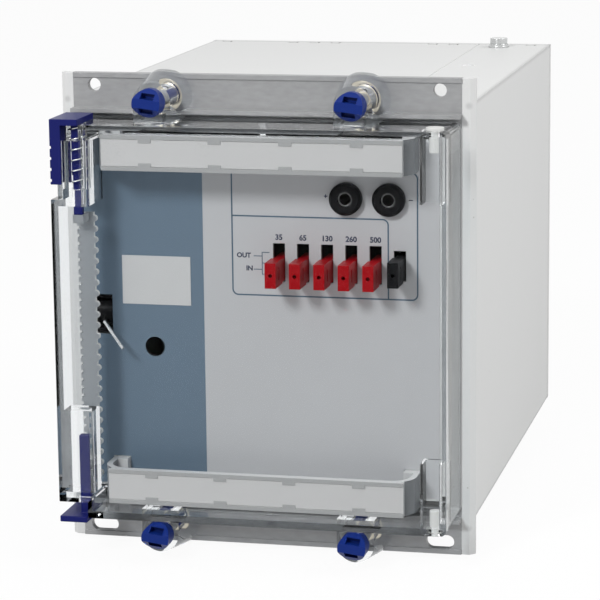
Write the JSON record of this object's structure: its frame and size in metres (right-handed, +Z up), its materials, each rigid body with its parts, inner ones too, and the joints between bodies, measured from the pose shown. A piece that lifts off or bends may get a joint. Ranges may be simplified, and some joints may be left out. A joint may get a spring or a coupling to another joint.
{
  "type": "protection relay",
  "caption": "Panel-mounted draw-out protection relay with a clear front cover on blue quarter-turn knobs, red plug links, test sockets and reset levers.",
  "frame": {"origin": "middle of the four panel fixings, on the flange face that meets the panel", "axes": "+X to the right seen from the front, +Y to the rear through the panel, +Z up"},
  "size_m": [0.1554, 0.247, 0.181],
  "materials": {
    "case_paint": "pale grey powder paint, slightly satin",
    "rail_aluminium": "drawn aluminium, brushed along the rail",
    "brass": "plain brass",
    "black_moulding": "black moulded plastic",
    "bright_steel": "bright plated steel",
    "chassis_steel": "plated sheet steel",
    "printed_film": "blue-grey and light grey printed film",
    "label_paper": "white printed label, left bare",
    "handle_moulding": "pale grey moulding",
    "label_strip": "plain grey insert strip",
    "link_red": "red moulding",
    "core_steel": "varnished laminations",
    "winding": "taped copper winding",
    "circuit_board": "green board with its parts",
    "resistor_ceramic": "glazed ceramic tubes",
    "wire_sleeve": "sleeved loom",
    "clear_moulding": "clear moulded plastic",
    "seal_foam": "thin sealing frame",
    "white_moulding": "white translucent moulding",
    "knob_blue": "blue moulding",
    "lever_navy": "dark blue moulding"
  },
  "bodies": {
    "case": {"case_wrapper": "case_paint", "right_side_plate": "case_paint", "top_rail": "rail_aluminium", "bottom_rail": "rail_aluminium", "rear_frame": "case_paint", "knob_receptacles": "brass", "chassis_guides": "black_moulding", "terminal_blocks": "black_moulding", "terminal_screws": "brass", "block_screws": "bright_steel", "earth_screw": "bright_steel", "earth_washers": "bright_steel", "case_screws": "bright_steel"},
    "chassis": {"front_plate": "chassis_steel", "front_film": "printed_film", "rating_label": "label_paper", "chassis_left_plate": "chassis_steel", "chassis_right_plate": "chassis_steel", "chassis_trays": "chassis_steel", "chassis_rear_plate": "chassis_steel", "rear_plugs": "black_moulding", "plug_blades": "brass", "upper_handle": "handle_moulding", "lower_handle": "handle_moulding", "label_strips": "label_strip", "handle_screws": "bright_steel", "link_block": "black_moulding", "test_sockets": "black_moulding", "socket_sleeves": "bright_steel", "flag_housing": "black_moulding", "relay_yoke": "chassis_steel", "relay_coil": "winding", "relay_contacts": "black_moulding", "transformer_cores": "core_steel", "transformer_coils": "winding", "transformer_straps": "chassis_steel", "resistor_board": "circuit_board", "padding_resistors": "resistor_ceramic", "rectifier_board": "circuit_board", "wiring_loom": "wire_sleeve"},
    "flag_unit": {"flag_drum": "black_moulding", "reset_arm": "bright_steel"},
    "armature": {"relay_armature": "chassis_steel"},
    "cover": {"cover_shell": "clear_moulding", "cover_gasket": "seal_foam", "blanking_plugs": "white_moulding", "lever_spring": "bright_steel"},
    "upper_lever": {"upper_reset_lever": "lever_navy", "reset_rack": "clear_moulding"},
    "lower_lever": {"lower_reset_lever": "lever_navy"},
    "test_link": {"test_link": "black_moulding"},
    "plug_link_1": {"plug_link_1": "link_red"},
    "plug_link_2": {"plug_link_2": "link_red"},
    "plug_link_3": {"plug_link_3": "link_red"},
    "plug_link_4": {"plug_link_4": "link_red"},
    "plug_link_5": {"plug_link_5": "link_red"},
    "knob_upper_left": {"knob_upper_left": "knob_blue"},
    "knob_upper_right": {"knob_upper_right": "knob_blue"},
    "knob_lower_left": {"knob_lower_left": "knob_blue"},
    "knob_lower_right": {"knob_lower_right": "knob_blue"}
  },
  "joints": [
    {"name": "chassis_draw", "type": "slide", "parent": "case", "child": "chassis", "axis": [0, -1, 0], "range_m": [0, 0.165]},
    {"name": "cover_off", "type": "slide", "parent": "chassis", "child": "cover", "axis": [0, -1, 0], "range_m": [0, 0.045]},
    {"name": "knob_upper_left_turn", "type": "hinge", "parent": "cover", "child": "knob_upper_left", "pos_m": [-0.037, -0.02, 0.0805], "axis": [0, 1, 0], "range_deg": [-90, 0]},
    {"name": "knob_upper_right_turn", "type": "hinge", "parent": "cover", "child": "knob_upper_right", "pos_m": [0.037, -0.02, 0.0805], "axis": [0, 1, 0], "range_deg": [-90, 0]},
    {"name": "knob_lower_left_turn", "type": "hinge", "parent": "cover", "child": "knob_lower_left", "pos_m": [-0.037, -0.02, -0.0805], "axis": [0, 1, 0], "range_deg": [-90, 0]},
    {"name": "knob_lower_right_turn", "type": "hinge", "parent": "cover", "child": "knob_lower_right", "pos_m": [0.037, -0.02, -0.0805], "axis": [0, 1, 0], "range_deg": [-90, 0]},
    {"name": "upper_lever_press", "type": "slide", "parent": "cover", "child": "upper_lever", "axis": [0, 0, -1], "range_m": [0, 0.005], "stiffness_N_per_m": 200, "springref_m": -0.003, "deforming": ["lever_spring"]},
    {"name": "lower_lever_push", "type": "slide", "parent": "cover", "child": "lower_lever", "axis": [0, 0, 1], "range_m": [0, 0.005]},
    {"name": "flag_reset", "type": "hinge", "parent": "chassis", "child": "flag_unit", "pos_m": [-0.0625, -0.0011, -0.0012], "axis": [1, 0, 0], "range_deg": [0, 12]},
    {"name": "armature_pull", "type": "hinge", "parent": "chassis", "child": "armature", "pos_m": [-0.045, 0.046, 0.04], "axis": [1, 0, 0], "range_deg": [0, 3], "stiffness_Nm_per_rad": 0.05, "springref_deg": -5.73},
    {"name": "plug_link_1_pull", "type": "slide", "parent": "chassis", "child": "plug_link_1", "axis": [0, -1, 0], "range_m": [0, 0.007]},
    {"name": "plug_link_2_pull", "type": "slide", "parent": "chassis", "child": "plug_link_2", "axis": [0, -1, 0], "range_m": [0, 0.007]},
    {"name": "plug_link_3_pull", "type": "slide", "parent": "chassis", "child": "plug_link_3", "axis": [0, -1, 0], "range_m": [0, 0.007]},
    {"name": "plug_link_4_pull", "type": "slide", "parent": "chassis", "child": "plug_link_4", "axis": [0, -1, 0], "range_m": [0, 0.007]},
    {"name": "plug_link_5_pull", "type": "slide", "parent": "chassis", "child": "plug_link_5", "axis": [0, -1, 0], "range_m": [0, 0.007]},
    {"name": "test_link_pull", "type": "slide", "parent": "chassis", "child": "test_link", "axis": [0, -1, 0], "range_m": [0, 0.007]}
  ],
  "couplings": [
    {"joint": "flag_reset", "follows": "upper_lever_press", "rad_per_m": 41.887}
  ]
}
